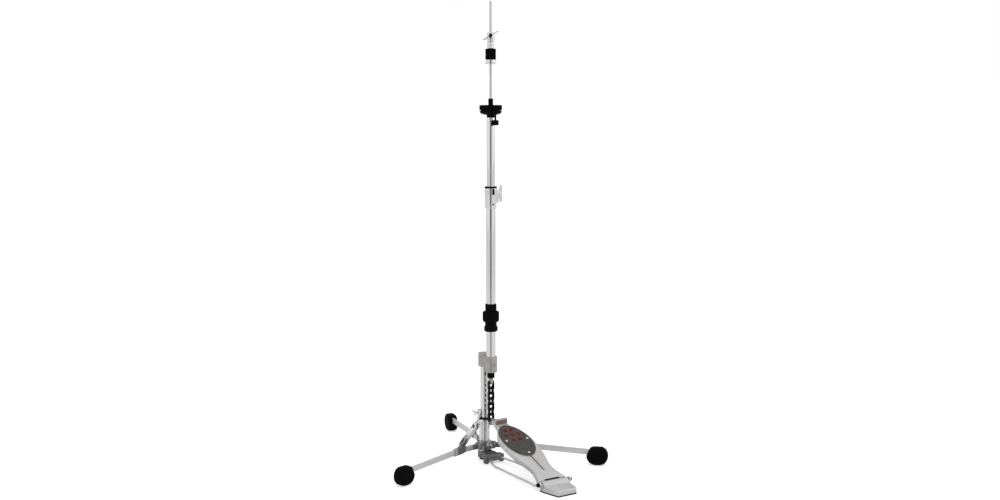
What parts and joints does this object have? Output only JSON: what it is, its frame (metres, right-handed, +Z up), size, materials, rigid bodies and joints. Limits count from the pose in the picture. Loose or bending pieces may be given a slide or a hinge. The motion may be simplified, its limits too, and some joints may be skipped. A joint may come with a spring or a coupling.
{
  "type": "hi-hat cymbal stand",
  "caption": "Free-standing hi-hat cymbal stand: foot pedal and chain pull a central rod, with a height clamp, tilting cymbal seat, sliding clutch and low folding tripod.",
  "frame": {"origin": "centre of the base column's foot cap, on the floor", "axes": "+Z up along the base column; -Y towards the pedal's heel; +X to the player's right when facing the stand's back from the pedal"},
  "size_m": [0.5023, 0.6216, 1.068],
  "materials": {
    "chrome": "polished plate",
    "bright_steel": "drawn bright steel",
    "satin_steel": "satin nickel plate",
    "cast_metal": "shot-blasted casting, clear coated",
    "dark_casting": "dark plated casting",
    "black_steel": "blackened steel",
    "black_plastic": "moulded, fine texture",
    "black_rubber": "moulded",
    "black_felt": "pressed wool felt",
    "silver_casting": "cast, satin silver paint",
    "traction": "dark textured plate",
    "red_rubber": "moulded"
  },
  "bodies": {
    "frame": {"base_block": "dark_casting", "base_column": "chrome", "column_foot": "black_rubber", "tube_clamp": "cast_metal", "lower_tube": "chrome", "guide_bush": "black_plastic", "adjuster_collar": "black_plastic", "adjuster_sleeve": "black_plastic", "height_clamp": "chrome", "clamp_bush": "black_plastic", "radius_rod_left": "bright_steel", "radius_rod_right": "bright_steel", "heel_plate": "silver_casting", "heel_mat": "black_rubber", "heel_pin": "black_steel"},
    "tension_ring": {"tension_ring": "black_plastic"},
    "spring_seat": {"spring_seat": "bright_steel"},
    "height_wing_bolt": {"height_wing_bolt": "chrome"},
    "upper_stage": {"upper_tube": "chrome", "seat_cup": "black_plastic", "seat_sleeve": "black_plastic"},
    "seat_pad": {"seat_washer": "black_steel", "seat_felt": "black_felt"},
    "tilt_screw": {"tilt_screw": "black_plastic"},
    "pull_rod": {"upper_rod": "bright_steel", "rod_coupling": "bright_steel", "lower_rod": "bright_steel", "clevis": "cast_metal", "return_spring": "bright_steel"},
    "chain": {"chain": "black_steel"},
    "clutch": {"clutch_body": "chrome", "clutch_lock_nuts": "chrome", "clutch_felt_lower": "black_felt", "clutch_felt_upper": "black_felt"},
    "clutch_bottom_nut": {"clutch_bottom_nut": "chrome"},
    "clutch_wing_screw": {"clutch_wing_screw": "chrome"},
    "footboard": {"footboard": "silver_casting", "grip_pads": "red_rubber", "traction_plate": "traction", "plate_screw_1": "chrome", "plate_screw_2": "chrome", "plate_screw_3": "chrome", "toe_bracket": "cast_metal"},
    "tripod": {"hub": "dark_casting", "column_sleeve": "chrome"},
    "collar": {"collar": "chrome", "collar_ring": "black_plastic"},
    "collar_wing_bolt": {"collar_wing_bolt": "chrome"},
    "leg_left": {"leg_link_left": "dark_casting", "leg_bar_left": "satin_steel", "foot_left": "black_rubber"},
    "strut_left": {"strut_left": "satin_steel"},
    "leg_right": {"leg_link_right": "dark_casting", "leg_bar_right": "satin_steel", "foot_right": "black_rubber"},
    "strut_right": {"strut_right": "satin_steel"},
    "leg_rear": {"leg_link_rear": "dark_casting", "leg_bar_rear": "satin_steel", "foot_rear": "black_rubber"},
    "strut_rear": {"strut_rear": "satin_steel"}
  },
  "joints": [
    {"name": "pedal", "type": "hinge", "parent": "frame", "child": "footboard", "pos_m": [0, -0.2847, 0.0175], "axis": [-1, 0, 0], "range_deg": [0, 6.5], "stiffness_Nm_per_rad": 15, "springref_deg": -17.19},
    {"name": "pull_rod_slide", "type": "slide", "parent": "frame", "child": "pull_rod", "axis": [0, 0, -1], "range_m": [0, 0.0302], "deforming": ["return_spring"]},
    {"name": "chain_swing", "type": "hinge", "parent": "pull_rod", "child": "chain", "pos_m": [0, -0.0287, 0.19], "axis": [1, 0, 0], "range_deg": [0, 5.2]},
    {"name": "height_slide", "type": "slide", "parent": "frame", "child": "upper_stage", "axis": [0, 0, 1], "range_m": [-0.07, 0.06]},
    {"name": "height_wing_bolt_turn", "type": "hinge", "parent": "frame", "child": "height_wing_bolt", "pos_m": [0.02, -0.0287, 0.6315], "axis": [1, 0, 0], "range_deg": [0, 180]},
    {"name": "tilt_screw_turn", "type": "hinge", "parent": "upper_stage", "child": "tilt_screw", "pos_m": [0, -0.0487, 0.795], "axis": [0, 0, 1], "range_deg": [0, 1081]},
    {"name": "seat_tilt", "type": "hinge", "parent": "upper_stage", "child": "seat_pad", "pos_m": [0, -0.0047, 0.8216], "axis": [-1, 0, 0], "range_deg": [0, 4]},
    {"name": "clutch_slide", "type": "slide", "parent": "pull_rod", "child": "clutch", "axis": [0, 0, 1], "range_m": [-0.06, 0.06]},
    {"name": "clutch_wing_screw_turn", "type": "hinge", "parent": "clutch", "child": "clutch_wing_screw", "pos_m": [-0.00654, -0.03876, 0.9897], "axis": [-0.5446, -0.8387, 0], "range_deg": [0, 180]},
    {"name": "clutch_bottom_nut_turn", "type": "hinge", "parent": "clutch", "child": "clutch_bottom_nut", "pos_m": [0, -0.0287, 0.9316], "axis": [0, 0, 1], "range_deg": [0, 360]},
    {"name": "tension_ring_turn", "type": "hinge", "parent": "frame", "child": "tension_ring", "pos_m": [0, -0.0287, 0.3468], "axis": [0, 0, 1], "range_deg": [0, 361]},
    {"name": "spring_seat_lift", "type": "slide", "parent": "frame", "child": "spring_seat", "axis": [0, 0, 1], "range_m": [0, 0.006]},
    {"name": "tripod_swivel", "type": "hinge", "parent": "frame", "child": "tripod", "pos_m": [0, 0, 0.033], "axis": [0, 0, 1], "range_deg": [-12, 30]},
    {"name": "leg_left_fold", "type": "hinge", "parent": "tripod", "child": "leg_left", "pos_m": [-0.02113, -0.00614, 0.035], "axis": [-0.279, 0.9603, 0], "range_deg": [0, 65]},
    {"name": "leg_right_fold", "type": "hinge", "parent": "tripod", "child": "leg_right", "pos_m": [0.01588, -0.01523, 0.035], "axis": [-0.6921, -0.7218, 0], "range_deg": [0, 65.5]},
    {"name": "leg_rear_fold", "type": "hinge", "parent": "tripod", "child": "leg_rear", "pos_m": [0.00525, 0.02136, 0.035], "axis": [0.9711, -0.2385, 0], "range_deg": [0, 65.5]},
    {"name": "collar_slide", "type": "slide", "parent": "tripod", "child": "collar", "axis": [0, 0, 1], "range_m": [0, 0.0638]},
    {"name": "strut_left_fold", "type": "hinge", "parent": "collar", "child": "strut_left", "pos_m": [-0.02881, -0.00837, 0.088], "axis": [-0.279, 0.9603, 0], "range_deg": [-53.2, 0]},
    {"name": "strut_right_fold", "type": "hinge", "parent": "collar", "child": "strut_right", "pos_m": [0.02165, -0.02076, 0.088], "axis": [-0.6921, -0.7218, 0], "range_deg": [-53.2, 0]},
    {"name": "strut_rear_fold", "type": "hinge", "parent": "collar", "child": "strut_rear", "pos_m": [0.00716, 0.02913, 0.088], "axis": [0.9711, -0.2385, 0], "range_deg": [-53.2, 0]},
    {"name": "collar_wing_bolt_turn", "type": "hinge", "parent": "collar", "child": "collar_wing_bolt", "pos_m": [-0.01761, 0.00374, 0.1145], "axis": [-0.9781, 0.2079, 0], "range_deg": [0, 180]}
  ],
  "couplings": [
    {"joint": "pull_rod_slide", "follows": "pedal", "m_per_rad": 0.26322},
    {"joint": "chain_swing", "follows": "pedal", "ratio": 0.7762},
    {"joint": "tilt_screw_turn", "follows": "seat_tilt", "ratio": 270},
    {"joint": "tension_ring_turn", "follows": "spring_seat_lift", "rad_per_m": 1047.2},
    {"joint": "leg_right_fold", "follows": "leg_left_fold", "ratio": 1},
    {"joint": "leg_rear_fold", "follows": "leg_left_fold", "ratio": 1},
    {"joint": "collar_slide", "follows": "leg_left_fold", "m_per_rad": 0.055739},
    {"joint": "strut_left_fold", "follows": "leg_left_fold", "ratio": -0.81088},
    {"joint": "strut_right_fold", "follows": "leg_left_fold", "ratio": -0.81088},
    {"joint": "strut_rear_fold", "follows": "leg_left_fold", "ratio": -0.81088}
  ]
}
